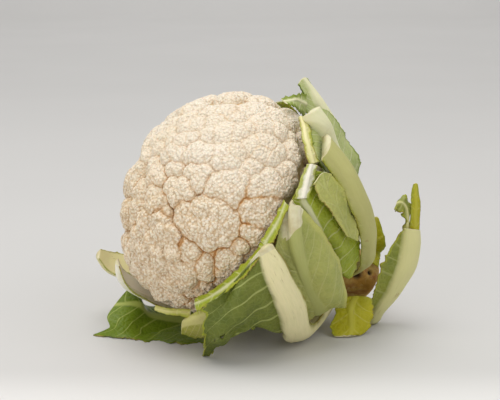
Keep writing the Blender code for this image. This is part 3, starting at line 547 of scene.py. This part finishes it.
class Floret:
    """One floret: lobes as balls set into the dome, seen from a point deep inside."""

    def __init__(self, name, proud, lobes):
        self.name = name
        spots = [(*dome(lean, turn), r) for lean, turn, r in lobes]
        middle = sum(spot for spot, out, r in spots) / len(spots)
        self.out = sum(out for spot, out, r in spots)
        self.out /= np.linalg.norm(self.out)
        self.spread = max(np.linalg.norm(spot - middle) + r for spot, out, r in spots)
        calm = min(max((self.middle_height(spots) - 95) / 45, 0), 1)
        self.rough = 1 - 0.5 * calm
        sink = min(0.18 * self.spread, 4.0) * (1 - 0.6 * calm)
        self.root = middle - self.out * max(9.0, 0.8 * self.spread)
        self.balls = []
        for spot, out, r in spots:
            fall = sink * (np.linalg.norm(spot - middle) / self.spread) ** 2
            ball = (1.32 + 0.5 * calm) * r
            self.balls.append((spot + out * (proud - fall - ball), ball))
        self.detail = 5 if self.spread < 8 or name.startswith("hidden") else 6 if self.spread < 23 else 7

    @staticmethod
    def middle_height(spots):
        """The florets near the crown are smoother than those lower down."""
        return sum((HEAD @ (Vector(spot) * MM)).z for spot, out, r in spots) / len(spots) / MM

    def surface(self, ways):
        """How far the surface is from the root along each way, and how sharp the crease is there."""
        reaches = []
        for centre, ball in self.balls:
            to = centre - self.root
            along = ways @ to
            inside = ball**2 - to @ to + along**2
            reaches.append(np.where(inside > 0, along + np.sqrt(np.maximum(inside, 0)), -50.0))
        reaches = np.array(reaches + [np.full(len(ways), 0.45 * self.spread)])
        soft = 0.7
        top = reaches.max(axis=0)
        reach = top + soft * np.log(np.exp((reaches - top) / soft).sum(axis=0))
        second = np.sort(reaches, axis=0)[-2]
        # the crease value is the mask for painted shade between lobes in the curd colour
        return reach, np.exp(-(top - second) / 0.9)

    def build(self, finish, seed, others):
        bm = bmesh.new()
        bmesh.ops.create_icosphere(bm, subdivisions=self.detail, radius=1.0)
        mesh = bpy.data.meshes.new("floret_" + self.name)
        bm.to_mesh(mesh)
        bm.free()
        count = len(mesh.vertices)
        ways = np.empty(count * 3)
        mesh.vertices.foreach_get("co", ways)
        ways = ways.reshape(-1, 3)
        ways /= np.linalg.norm(ways, axis=1, keepdims=True)
        # crowd the vertices towards the outside
        lean = np.arccos(np.clip(ways[:, 2], -1, 1))
        tighter = math.pi * (lean / math.pi) ** 1.4
        ring = np.maximum(np.sin(lean), 1e-9)
        ways = np.stack([ways[:, 0] / ring * np.sin(tighter), ways[:, 1] / ring * np.sin(tighter),
                         np.cos(tighter)], axis=1)
        turn = Vector((0, 0, 1)).rotation_difference(Vector(self.out)).to_matrix()
        ways = ways @ np.array(turn).T
        # let the clefts wander a little
        shaken = ways + 0.035 * np.stack([np.sin(ways @ np.array(k)) for k in
                                          ((23, 9, -14), (-11, 25, 8), (7, -16, 21))], axis=1)
        reach, crease = self.surface(shaken / np.linalg.norm(shaken, axis=1, keepdims=True))
        # small lobes of 7 mm, then grains of 3.6 mm and of 2 mm
        size = float(np.median(reach[ways @ self.out > 0.3]))
        for gap, height in ((7.0, 0.9 * self.rough), (3.6, 0.25), (2.0, 0.3 * (0.35 + 0.65 * self.rough))):
            number = int(4 * math.pi * size**2 / gap**2)
            away = nearest(ways, spiral(number, seed + number)) * reach / (gap * 0.66)
            reach = reach + height * (np.sqrt(np.maximum(0, 1 - np.minimum(away, 1) ** 2)) - 0.75)
            # pit marks the gaps between grains, where the curd colour paints tan and shade
            pit = np.clip(away, 0, 1) ** 2.5 * self.rough
        points = self.root + ways * reach[:, None]
        # cleft: how near each point is to a neighbouring floret's lobes, the mask for the painted shade in the
        # clefts
        cleft = np.zeros(count)
        for other in others:
            far = 1.6 * (other.spread + self.spread) + 12
            if other is self or np.linalg.norm(other.root - self.root) > far:
                continue
            for centre, ball in other.balls:
                apart = np.linalg.norm(points - centre, axis=1) - ball
                cleft = np.maximum(cleft, np.exp(-np.maximum(apart, 0) / 1.1))
        head = np.array(HEAD)
        points = points * MM @ head[:3, :3].T + head[:3, 3]
        mesh.vertices.foreach_set("co", points.ravel())
        for name, values in (("cleft", cleft), ("crease", crease), ("pit", pit)):
            mesh.attributes.new(name, "FLOAT", "POINT").data.foreach_set("value", values)
        mesh.update()
        mesh.shade_smooth()
        mesh.materials.append(finish)
        obj = bpy.data.objects.new(mesh.name, mesh)
        bpy.context.scene.collection.objects.link(obj)
        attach(obj, "root")
        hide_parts("curd")


def hidden_florets():
    """Fill the rest of the dome on the golden spiral, clear of the florets that have places."""
    taken = [(dome(lean, turn)[0], r) for name, proud, lobes in FLORETS for lean, turn, r in lobes]
    rng = random.Random(11)
    golden, found = 137.508, []
    for i in range(95):
        z = 1 - (i + 0.5) / 95 * 1.46
        lean, turn = math.degrees(math.acos(z)), golden * i % 360
        spot, out = dome(lean, turn)
        if any(np.linalg.norm(spot - t) < r + 7.5 for t, r in taken):
            continue
        lobes = [(lean, turn, 6.2)]
        for k in range(6):
            a = math.radians(60 * k + rng.uniform(-14, 14))
            step = rng.uniform(5.4, 7.4)
            side = step / max(math.sin(math.radians(lean)), 0.25)
            lobes.append((lean + math.degrees(step * math.cos(a) / CURD_RADIUS),
                          turn + math.degrees(side * math.sin(a) / CURD_RADIUS), rng.uniform(4.2, 5.6)))
        found.append(("hidden_%02d" % i, rng.uniform(-1.5, 0.8), lobes))
    return found


def make_curd():
    finish = curd_finish()
    florets = [Floret(*row) for row in FLORETS + hidden_florets()]
    for i, floret in enumerate(florets):
        floret.build(finish, 100 * i, florets)
    bm = bmesh.new()
    bmesh.ops.create_icosphere(bm, subdivisions=5, radius=1.0)
    for vert in bm.verts:
        way = vert.co.normalized()
        under = min(max((-0.2 - way.z) / 0.4, 0), 1)
        radius = 76 - 9 * under + 1.5 * noise.noise(way * 7)
        rise = (CURD_RISE - 8) / 76 if way.z > 0 else 1
        point = Vector((way.x, way.y, way.z * rise)) * radius
        if point.z < -59.5:
            point *= -59.5 / point.z
        vert.co = HEAD @ (point * MM)
    add_piece("curd_branches", bm, core_finish(), "curd")


def make_stem():
    outline = [(0.0, -60.0), (20.5, -60.0), (19.6, -65), (19.0, -70), (19, -80), (19, -90), (19, -100), (19, -112),
               (18.6, -126), (17.6, -134), (15.6, -136.6), (0, -137.0)]
    bm = bmesh.new()
    pit = bm.verts.layers.float.new("pit")
    verts = []
    for (ra, ha), (rb, hb) in zip(outline, outline[1:]):
        steps = max(1, int(math.dist((ra, ha), (rb, hb)) / 1.1))
        verts += [bm.verts.new(Vector((ra + (rb - ra) * k / steps, 0, ha + (hb - ha) * k / steps)) * MM)
                  for k in range(steps)]
    verts.append(bm.verts.new(Vector((*outline[-1][:1], 0, outline[-1][1])) * MM))
    edges = [bm.edges.new(pair) for pair in zip(verts, verts[1:])]
    bmesh.ops.spin(bm, geom=verts + edges, cent=(0, 0, 0), axis=(0, 0, 1), angle=2 * math.pi, steps=110,
                   use_merge=True)
    bmesh.ops.remove_doubles(bm, verts=bm.verts[:], dist=0.00005)
    holes = [(STEM_HOLE, 4.2, 6.0), (STEM_NICK, 2.6, 2.5)]
    for vert in bm.verts:
        out = Vector((vert.co.x, vert.co.y, 0))
        if out.length < 0.0005:
            continue
        out.normalize()
        rough = noise.fractal(vert.co * 160, 0.9, 2.1, 4)
        fibre = noise.noise(Vector((vert.co.x * 420, vert.co.y * 420, vert.co.z * 60)))
        if vert.co.z < -0.0605:
            vert.co += out * MM * (0.5 * rough + 0.45 * fibre)
            vert.co.z += 0.0005 * rough if vert.co.z < -0.134 else 0
        for (h, turn), radius, depth in holes:
            a = math.radians(turn)
            spot = Vector((STEM_RADIUS * math.cos(a), -STEM_RADIUS * math.sin(a), h)) * MM
            near = 1 - (vert.co - spot).length / (radius * MM)
            if near > 0:
                vert.co -= out * depth * MM * min(1, near * 1.8)
                # pit: how near the middle of the hole or nick, the mask for the painted shade there
                vert[pit] = min(1, near * 2.2)
    bmesh.ops.recalc_face_normals(bm, faces=bm.faces[:])
    bmesh.ops.transform(bm, matrix=HEAD, verts=bm.verts[:])
    add_piece("stem_rind", bm, stem_finish(), "stem")


def cup_spine(layer, turns, tip):
    """A leaf's midline in one layer of the cup, from the stem to its cut end at height tip."""
    heights = [point[0] for point in CUPS[layer]]
    radii = [point[1] for point in CUPS[layer]]
    low, high = 0.0, 1.0
    while high - low > 0.001:
        middle = (low + high) / 2
        low, high = (middle, high) if blend(heights, middle) < tip else (low, middle)
    rows = []
    for i in range(8):
        s = i / 7
        rows.append((blend(heights, s * low), blend(radii, s * low), blend(turns, s)))
    return rows


def on_cup(spine):
    """Place a leaf that follows the head: its width runs around the axis."""
    def place(s, across, bend):
        h, r, turn = (blend([row[k] for row in spine], s) for k in range(3))
        return around(h, r + bend, turn + math.degrees(across / max(r, STEM_RADIUS)))
    return place


def make_leaf(name, node, finish, place, rib_width, rib_depth, left=(), right=(),
              slot="leaf", fray=(0.06, 9), ruffle=(0.0, 5), holes=(), wave=1.2, seed=1,
              vein_gap=11.0, vein_lean=0.75, flesh=0.0):
    """One leaf: a thick rib and two thin blades. Lists run from the stem to the cut end.

    holes are (side, s, share of reach, radius mm).
    """
    length = sum((place((i + 1) / 60, 0, 0) - place(i / 60, 0, 0)).length for i in range(60)) / MM
    traced = isinstance(place, Traced)
    if traced:
        left, right = ([place.reach(side, i / 12) for i in range(13)] for side in (1, -1))
    counts = {side: min(52, max(4, round((max(reach) - min(rib_width)) / BLADE_CELL)))
              for side, reach in ((1, left), (-1, right))}
    columns, rows = counts[-1] + RIB_COLUMNS + counts[1], round(length / ROW_CELL)
    bm = bmesh.new()
    depth = bm.verts.layers.float.new("depth")
    facing = bm.verts.layers.float_vector.new("facing")
    off_rib, along, rim, cut, lift = (bm.verts.layers.float.new(n) for n in
                                      ("off_rib", "along", "rim", "cut", "lift"))
    bmesh.ops.create_grid(bm, x_segments=columns, y_segments=rows, size=1.0)
    spots = {}
    for vert in bm.verts:
        column = round((vert.co.x + 1) / 2 * columns)
        s = (vert.co.y + 1) / 2
        half_rib = blend(rib_width, s)
        from_middle = column - counts[-1] - RIB_COLUMNS / 2
        side = 1 if from_middle > 0 else -1
        reach = left if side > 0 else right
        reached = place.reach(side, s) if traced else blend(reach, s)
        ragged = noise.fractal(Vector((s * fray[1] * 3, side * 7.3, seed * 3.1)), 0.7, 2.2, 4)
        edge = max(reached * (1 + fray[0] * ragged * 2), half_rib * 1.04)
        if abs(from_middle) <= RIB_COLUMNS / 2:
            across, share = abs(from_middle) / (RIB_COLUMNS / 2) * half_rib, 0.0
        else:
            share = (abs(from_middle) - RIB_COLUMNS / 2) / counts[side]
            across = half_rib + share * (edge - half_rib)
        off = across - half_rib
        bend = ruffle[0] * share**2 * math.sin(2 * math.pi * (s * ruffle[1] + seed * 0.37 + side * 0.2))
        if off > 0:
            swell = noise.noise(Vector((s * 5, side * across * 0.05, seed * 1.7)))
            bend += wave * min(off / 10, 1) * swell
        lane = ((s * length - off * vein_lean) / vein_gap) % 1
        ridge = max(0.0, 1 - min(lane, 1 - lane) * vein_gap / 1.3) if off > 0 else 0.0
        bulge = math.sqrt(max(0.0, 1 - (across / half_rib) ** 2)) if across < half_rib else 0.0
        grain = noise.noise(Vector((across * side * 0.5, s * length * 0.06, seed)))
        vert[depth] = (BLADE + blend(rib_depth, s) * bulge * (1 + 0.06 * grain)
                       + 0.55 * ridge * (1 - 0.7 * share)) * MM
        vert[off_rib], vert[along] = off, s * length
        vert[rim] = edge - across
        vert[cut] = (1 - s) * length - flesh * (1 - share) * (1 + 0.35 * ragged)
        vert[lift] = bend * MM if traced else 0.0
        spots[vert] = (side, s, share, across, edge)
        vert.co = place(s, side * across, bend)
        vert.co.z = max(vert.co.z, vert[depth])
    gone = []
    for face in bm.faces:
        side, s, share, across, edge = (sum(spots[v][k] for v in face.verts) / len(face.verts) for k in range(5))
        for which, at, at_share, radius in holes:
            apart = math.hypot((s - at) * length, across - at_share * edge)
            if which * side > 0 and apart < radius:
                gone.append(face)
                break
    bmesh.ops.delete(bm, geom=gone, context="FACES")
    bm.normal_update()
    outside = place.outside if traced else place(0.5, 0, 5) - place(0.5, 0, 0)
    middle = min(bm.verts, key=lambda v: (v.co - place(0.5, 0, 0)).length)
    if middle.normal.dot(outside) < 0:
        bmesh.ops.reverse_faces(bm, faces=bm.faces[:])
        bm.normal_update()
    for vert in bm.verts:
        vert.co += vert.normal * vert[lift]
        vert.co.z = max(vert.co.z, vert[depth])
    bm.normal_update()
    for vert in bm.verts:
        vert[facing] = vert.normal
    outer = bmesh.ops.extrude_face_region(bm, geom=bm.faces[:], use_keep_orig=True)["geom"]
    for vert in (g for g in outer if isinstance(g, bmesh.types.BMVert)):
        vert.co += Vector(vert[facing]) * vert[depth]
        vert.co.z = max(vert.co.z, 0.0)
    bmesh.ops.recalc_face_normals(bm, faces=bm.faces[:])
    return add_piece(name, bm, finish, node)


class Traced:
    """Place a leaf on its traced lines; rib is the line that the rib follows."""

    def __init__(self, name, rib, outside=None):
        self.lines, self.rib, self.known = TRACED[name], rib, {}
        middle = Vector(self.row(0.5)[rib])
        self.outside = Vector(outside) if outside else middle - Vector((*HEAD_OFFSET, CENTRE_HEIGHT))

    def row(self, s):
        if s not in self.known:
            self.known[s] = [Vector(blend([p[k] for p in line], s) for k in range(3)) for line in self.lines]
        return self.known[s]

    def side(self, side, s):
        """The row's points from the rib out to one side: 1 is left, -1 right."""
        row = self.row(s)
        return row[self.rib::-1] if side > 0 else row[self.rib:]

    def reach(self, side, s):
        points = self.side(side, s)
        return sum((b - a).length for a, b in zip(points, points[1:]))

    def __call__(self, s, across, bend):
        side = 1 if across >= 0 else -1
        points, left = self.side(side, s), abs(across)
        row = self.row(s)
        for i, (a, b) in enumerate(zip(points, points[1:])):
            gap = (b - a).length
            if left <= gap:
                at = (self.rib - side * (i + left / max(gap, 0.001))) / (len(row) - 1)
                return Vector(blend([p[k] for p in row], at) for k in range(3)) * MM
            left -= gap
        way = points[-1] - points[-2]
        return (points[-1] + way.normalized() * left) * MM


INNER_RIB = dict(rib_width=[6, 6.5, 6, 5, 4], rib_depth=[2, 4, 3, 1.2, 0.8])
MIDDLE_RIB = dict(rib_width=[7.5, 8, 8, 7, 6], rib_depth=[2.5, 6, 5, 3, 3])
OUTER_RIB = dict(rib_width=[7.5, 8, 9.5, 9, 8.5], rib_depth=[3, 7, 8.5, 8, 7])


def make_leaves():
    pale = leaf_finish("leaf_pale", (0.24, 0.31, 0.008), (0.36, 0.41, 0.028), (0.62, 0.62, 0.36), (0.50, 0.53, 0.18))
    green = leaf_finish("leaf_green", (0.10, 0.135, 0.015), (0.17, 0.20, 0.028), (0.82, 0.75, 0.44),
                        (0.38, 0.42, 0.13), gap=17, lean=0.35)
    crest = leaf_finish("leaf_crest", (0.34, 0.41, 0.12), (0.50, 0.55, 0.22), (0.80, 0.78, 0.50),
                        (0.60, 0.62, 0.34), margin=(0.20, 0.27, 0.008), margin_width=4, dry=(0.08, 0.12, 0.01))
    apron = leaf_finish("leaf_grey_green", (0.31, 0.34, 0.085), (0.45, 0.46, 0.13), (0.42, 0.44, 0.14),
                        (0.56, 0.56, 0.25), gap=16, lean=1.6, margin=(0.50, 0.50, 0.14), margin_width=5,
                        vein_show=0.35)
    shoulder = leaf_finish("leaf_shoulder", (0.24, 0.27, 0.03), (0.34, 0.36, 0.07), (0.47, 0.455, 0.17),
                           (0.60, 0.57, 0.26))
    vivid = leaf_finish("leaf_dark", (0.10, 0.165, 0.003), (0.155, 0.225, 0.007), (0.40, 0.45, 0.10),
                        (0.34, 0.40, 0.09), roughness=0.4, gap=15, margin=(0.10, 0.16, 0.006))
    yellow = leaf_finish("leaf_yellow", (0.36, 0.35, 0.004), (0.45, 0.41, 0.010), (0.48, 0.45, 0.04),
                         (0.56, 0.53, 0.10), vein_show=0.5)
    stub = leaf_finish("leaf_stub", (0.36, 0.37, 0.05), (0.46, 0.45, 0.09), (0.64, 0.60, 0.22), (0.62, 0.58, 0.25))
    spring = leaf_finish("leaf_spring_green", (0.56, 0.54, 0.18), (0.64, 0.60, 0.26), (0.80, 0.74, 0.40),
                         (0.74, 0.70, 0.38))
    whitish = leaf_finish("leaf_whitish", (0.66, 0.67, 0.46), (0.78, 0.75, 0.58), (0.90, 0.86, 0.74),
                          (0.80, 0.74, 0.5))
    old = leaf_finish("leaf_old", (0.17, 0.21, 0.03), (0.27, 0.29, 0.04), (0.68, 0.65, 0.31), (0.50, 0.51, 0.20),
                      gap=14, lean=0.3, vein_show=0.35)

    for name, turns, tip, left, right, finish, seed in (
            ("leaf_inner_low", [156, 142, 128], -16, [6, 8, 11, 11, 8], [6, 8, 18, 20, 10], stub, 2),
            ("leaf_inner_back", [265, 262, 260], -7, [6, 8, 24, 32, 20], [6, 8, 24, 32, 20], pale, 4),
            ("leaf_inner_top", [332, 335, 340], -9, [6, 8, 26, 34, 24], [6, 8, 26, 34, 24], pale, 5)):
        make_leaf(name + "_sheet", name, finish, on_cup(cup_spine(0, turns, tip)), **INNER_RIB,
                  left=left, right=right, seed=seed)
    make_leaf("leaf_inner_front_sheet", "leaf_inner_front", pale, Traced("leaf_inner_front", 1),
              rib_width=[6, 6, 4, 3, 2.5, 2], rib_depth=[2, 3, 1.5, 1, 0.8, 0.5], seed=1, vein_gap=15, wave=2.5)
    make_leaf("leaf_inner_front_strip", "leaf_inner_front", whitish, Traced("leaf_inner_front_strip", 1),
              rib_width=[1.5, 1], rib_depth=[0.6, 0.4], seed=26, fray=(0.15, 3), wave=3)
    make_leaf("leaf_inner_front_fold", "leaf_inner_front", apron, Traced("leaf_inner_front_fold", 1),
              rib_width=[1.2, 1], rib_depth=[0.5, 0.3], seed=21, wave=2.5, fray=(0.12, 8), vein_gap=7)
    make_leaf("leaf_inner_under_sheet", "leaf_inner_under", whitish,
              on_cup([(-84, 20, 206), (-74, 42, 205), (-54, 62, 204), (-28, 80, 202), (-6, 88, 200),
                      (14, 89, 199), (28, 86, 198), (38, 78, 198)]),
              rib_width=[6, 7, 8, 9, 9.5, 9.5, 8, 4], rib_depth=[2, 3, 4, 5, 6, 6, 5, 2],
              left=[6, 8, 12, 12, 12, 11, 9, 5], right=[6, 8, 14, 18, 20, 19, 14, 6], seed=3)

    make_leaf("leaf_middle_top_sheet", "leaf_middle_top", crest, Traced("leaf_middle_top", 1),
              rib_width=[7.5, 8, 8, 7.5, 7, 7, 7.5, 8], rib_depth=[2.5, 5, 5, 4, 4, 5, 7, 5], seed=6)
    make_leaf("leaf_middle_top_strip", "leaf_middle_top", spring, Traced("leaf_middle_top_strip", 1),
              rib_width=[1.2, 1], rib_depth=[0.5, 0.3], seed=24, fray=(0.15, 3), wave=3)
    make_leaf("leaf_middle_front_sheet", "leaf_middle_front", apron, Traced("leaf_middle_front", 1),
              rib_width=[7, 7, 6, 4, 3, 4.5, 6.5, 7], rib_depth=[2, 3, 2, 0.6, 0.3, 1.5, 5, 5], seed=7,
              flesh=14, vein_gap=16, vein_lean=1.6, wave=4.0, fray=(0.025, 5))
    make_leaf("leaf_middle_low_sheet", "leaf_middle_low", stub,
              Traced("leaf_middle_low", 1), rib_width=[7.5, 8, 8, 7, 7, 6.5, 6, 6],
              rib_depth=[2.5, 4, 3.5, 2.5, 3, 4, 3.5, 3], seed=8)
    make_leaf("leaf_middle_under_sheet", "leaf_middle_under", spring,
              on_cup([(-98, 20, 232), (-90, 36, 231), (-70, 56, 229), (-46, 76, 226), (-18, 90, 222),
                      (12, 99, 219), (30, 101, 217), (43, 97, 216)]),
              rib_width=[7.5, 8, 9, 10, 10.5, 11, 10, 4.5], rib_depth=[2.5, 5, 6, 6, 6.5, 7, 6, 3],
              left=[8, 9, 14, 13, 12, 11.5, 10.5, 5], right=[8, 9, 13, 12, 12, 11.5, 10.5, 5], seed=9)
    make_leaf("leaf_middle_back_sheet", "leaf_middle_back", green, on_cup(cup_spine(1, [284, 283, 282], -8)),
              **MIDDLE_RIB, left=[8, 9, 30, 42, 30], right=[8, 9, 24, 36, 26], seed=10)

    make_leaf("leaf_outer_top_sheet", "leaf_outer_top", crest, Traced("leaf_outer_top", 1),
              rib_width=[7, 7.6, 9, 9, 8.5, 8, 7.5, 6.5, 4.5], rib_depth=[2.5, 5.5, 7, 7, 7, 6, 5, 4, 2.5], seed=11)
    make_leaf("leaf_outer_top_fold", "leaf_outer_top", crest, Traced("leaf_outer_top_fold", 1),
              rib_width=[1.2, 1], rib_depth=[0.5, 0.3], seed=25, fray=(0.25, 10), wave=3)
    make_leaf("leaf_outer_shoulder_sheet", "leaf_outer_shoulder", shoulder,
              on_cup([(-112, 20, 74), (-103, 42, 70), (-96, 51.5, 67), (-82, 67.6, 62), (-68, 79, 58),
                      (-56, 85, 54.5), (-46, 88, 50), (-36, 89, 46), (-23, 90, 41)]),
              rib_width=[7.5, 7, 7, 7.5, 8.5, 9.5, 10, 10.4, 10.4], rib_depth=[3, 7, 8, 8.5, 8.5, 8.5, 8.5, 8.5, 8],
              left=[8, 7.5, 7.5, 8, 9, 10, 10.4, 11.2, 11.2],
              right=[8, 7.5, 7.5, 8, 9, 10, 10.4, 11.2, 11.2], seed=12)
    make_leaf("leaf_outer_front_sheet", "leaf_outer_front", green, Traced("leaf_outer_front", 3),
              rib_width=[7.5, 9, 10.8, 11, 10, 9, 6], rib_depth=[3, 7, 9, 9, 8, 6, 3],
              seed=13, vein_gap=17, vein_lean=0.35, flesh=9, wave=7,
              holes=[(1, 0.70, 0.62, 2.2), (1, 0.66, 0.58, 1.6), (1, 0.72, 0.70, 1.3)])
    make_leaf("leaf_outer_front_rim", "leaf_outer_front", pale, Traced("leaf_outer_front_rim", 1),
              rib_width=[0.8, 0.8], rib_depth=[0.2, 0.2], seed=27, fray=(0.2, 9), wave=4, vein_gap=6)
    make_leaf("leaf_middle_front_rim", "leaf_middle_front", pale, Traced("leaf_middle_front_rim", 1),
              rib_width=[0.8, 0.8], rib_depth=[0.2, 0.2], seed=28, fray=(0.2, 7), wave=3, vein_gap=6)
    make_leaf("leaf_middle_low_strip", "leaf_middle_low", stub, Traced("leaf_middle_low_strip", 1),
              rib_width=[0.9, 0.8], rib_depth=[0.4, 0.2], seed=29, fray=(0.2, 7), wave=2)
    make_leaf("leaf_outer_low_sheet", "leaf_outer_low", vivid, Traced("leaf_outer_low", 1),
              rib_width=[7.5, 8, 8, 6, 4, 3, 2], rib_depth=[3, 5, 5, 3, 2, 1.5, 1], slot="dark_leaf", seed=14,
              wave=2.0, fray=(0.07, 9), vein_gap=15)
    make_leaf("leaf_outer_back_sheet", "leaf_outer_back", green, on_cup(cup_spine(2, [256, 251, 247], -6)),
              **OUTER_RIB, left=[9, 9, 22, 34, 26], right=[9, 9, 14, 18, 14], seed=15)
    make_leaf("leaf_outer_far_sheet", "leaf_outer_far", green, on_cup(cup_spine(2, [309, 310, 310], -8)),
              **OUTER_RIB, left=[8.2, 8.5, 13, 22, 18], right=[9, 9, 18, 26, 20], seed=16)

    make_leaf("leaf_old_behind_sheet", "leaf_old_behind", yellow,
              Traced("leaf_old_behind", 1, (0, -1, 0)), rib_width=[3, 2.5, 2, 1.5],
              rib_depth=[1, 1, 0.8, 0.4], slot="yellow_leaf", seed=17, vein_gap=9)
    make_leaf("leaf_old_right_sheet", "leaf_old_right", old, Traced("leaf_old_right", 1),
              rib_width=[4, 5, 5.5, 6.5, 7.5, 8, 8.5, 8, 7], rib_depth=[3, 4, 4, 5, 5, 5, 5, 5, 4], seed=18,
              vein_gap=14, vein_lean=0.3)
    make_leaf("leaf_old_right_frill", "leaf_old_right", old, Traced("leaf_old_right_frill", 1, (0, -1, 0)),
              rib_width=[1.5, 1], rib_depth=[0.6, 0.2], seed=22, ruffle=(2.2, 3), fray=(0.2, 6), wave=2)
    make_leaf("leaf_old_right_strip", "leaf_old_right", yellow, Traced("leaf_old_right_strip", 1, (0, -1, 0)),
              rib_width=[1.5, 1], rib_depth=[0.6, 0.2], seed=23)
    make_leaf("leaf_old_under_sheet", "leaf_old_under", yellow, Traced("leaf_old_under", 1, (0, -1, -0.4)),
              rib_width=[2.5, 2], rib_depth=[0.8, 0.4], slot="yellow_leaf", seed=19, fray=(0.05, 7), wave=1.5)


def make_studio():
    """A pale sweep painted lighter towards the camera as painted light, one big soft light above, a weak fill, and
    the camera.
    """
    bm = bmesh.new()
    bmesh.ops.create_grid(bm, x_segments=2, y_segments=60, size=1.0)
    for vert in bm.verts:
        far = (vert.co.y + 1) / 2 * 8.0 - 2.0
        bend = min(max(0.0, far - 3.5), 1.57)
        vert.co = Vector((vert.co.x * 4.0, min(far, 3.5) + math.sin(bend),
                          1 - math.cos(bend) + max(0.0, far - 5.07)))
    mesh = bpy.data.meshes.new("sweep")
    bm.to_mesh(mesh)
    bm.free()
    mesh.shade_smooth()
    paper = Finish("sweep_paper", 0.9)
    # painted light: the sweep grows up to 22% lighter towards the camera, over a faint random tone
    tone_and_painted_light = paper.math("MULTIPLY", paper.fade(paper.noise(3, 2), 0.2, 0.8, 0.585, 0.60),
                      paper.fade(paper.ahead(), -0.08, -0.15, 1.0, 1.22))
    mesh.materials.append(paper.wear(paper.mix(tone_and_painted_light, (0, 0, 0), (1.0, 0.99, 0.975))))
    sweep = bpy.data.objects.new("sweep", mesh)
    bpy.context.scene.collection.objects.link(sweep)
    for name, spot, aim, size, power, colour in (
            ("overhead", (-0.25, -0.08, 1.85), (0, 0, 0.05), 1.4, 20.0, (1.0, 0.99, 0.97)),
            ("far", (0, 3.2, 2.6), (0, 3.8, 0), 3.0, 35.0, (1.0, 0.99, 0.98)),
            ("fill", (1.1, -0.8, 1.2), (0, 0, 0.08), 1.2, 4.5, (1.0, 0.99, 0.97)),
            ("low_fill", (-1.0, -1.1, 0.35), (0, 0, 0.04), 1.0, 5.0, (1.0, 0.98, 0.95))):
        light = bpy.data.lights.new(name, "AREA")
        light.size, light.energy, light.color = size, power, colour
        lamp = bpy.data.objects.new(name, light)
        bpy.context.scene.collection.objects.link(lamp)
        lamp.location = spot
        lamp.rotation_euler = (Vector(aim) - Vector(spot)).to_track_quat("-Z", "Y").to_euler()
    world = bpy.data.worlds.new("studio")
    world.use_nodes = True
    world.node_tree.nodes["Background"].inputs[0].default_value = (1.0, 0.99, 0.975, 1)
    world.node_tree.nodes["Background"].inputs[1].default_value = 0.52
    bpy.context.scene.world = world
    camera = bpy.data.objects.new("camera", bpy.data.cameras.new("camera"))
    bpy.context.scene.collection.objects.link(camera)
    camera.data.lens, camera.data.sensor_width = 90, 36
    camera.location = (-0.0034, -0.8866, 0.2871)
    camera.rotation_euler = (math.radians(78), 0, 0)
    bpy.context.scene.camera = camera
    bpy.context.scene.view_settings.view_transform = "Standard"


make_curd()
make_stem()
make_leaves()
make_studio()
